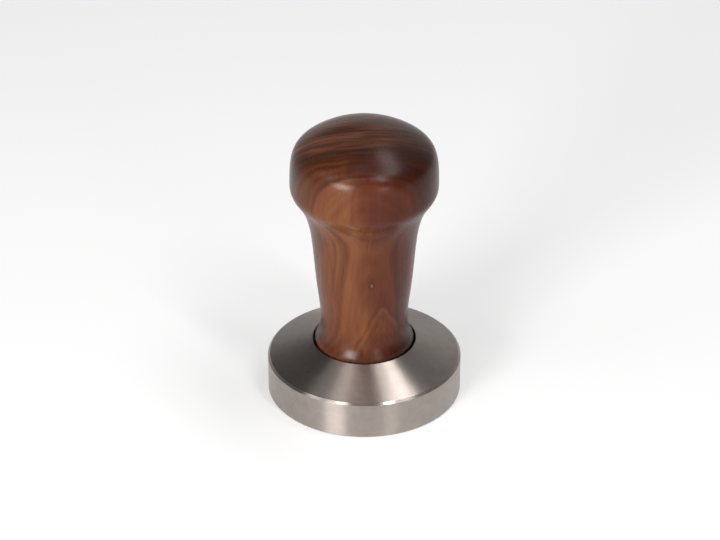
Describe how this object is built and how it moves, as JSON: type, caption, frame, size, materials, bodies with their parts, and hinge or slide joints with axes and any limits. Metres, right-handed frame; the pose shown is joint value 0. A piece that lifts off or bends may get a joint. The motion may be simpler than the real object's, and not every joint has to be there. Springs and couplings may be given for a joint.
{
  "type": "espresso tamper",
  "caption": "Hand tamper for espresso: a turned walnut mushroom handle that unscrews from a low conical steel base with a flat pressing face.",
  "frame": {"origin": "centre of the flat tamping face, which the tamper stands on", "axes": "+Z is the turning axis, from the tamping face up through the handle's dome; X and Y are free, because the body is round"},
  "size_m": [0.058, 0.058, 0.0886],
  "materials": {
    "base_steel": "turned satin stainless steel",
    "washer_rubber": "matte black",
    "handle_wood": "oiled walnut, satin",
    "insert_brass": "machined",
    "stud_steel": "bright, zinc plated"
  },
  "bodies": {
    "base": {"base": "base_steel"},
    "washer": {"foot_washer": "washer_rubber"},
    "handle": {"handle": "handle_wood", "handle_insert": "insert_brass", "stud": "stud_steel"}
  },
  "joints": [
    {"name": "handle_rise", "type": "slide", "parent": "base", "child": "washer", "axis": [0, 0, 1], "range_m": [0, 0.008]},
    {"name": "handle_turn", "type": "hinge", "parent": "washer", "child": "handle", "pos_m": [0, 0, 0.015], "axis": [0, 0, 1], "range_deg": [0, 2304]}
  ],
  "couplings": [
    {"joint": "handle_rise", "follows": "handle_turn", "m_per_rad": 0.00019894}
  ]
}
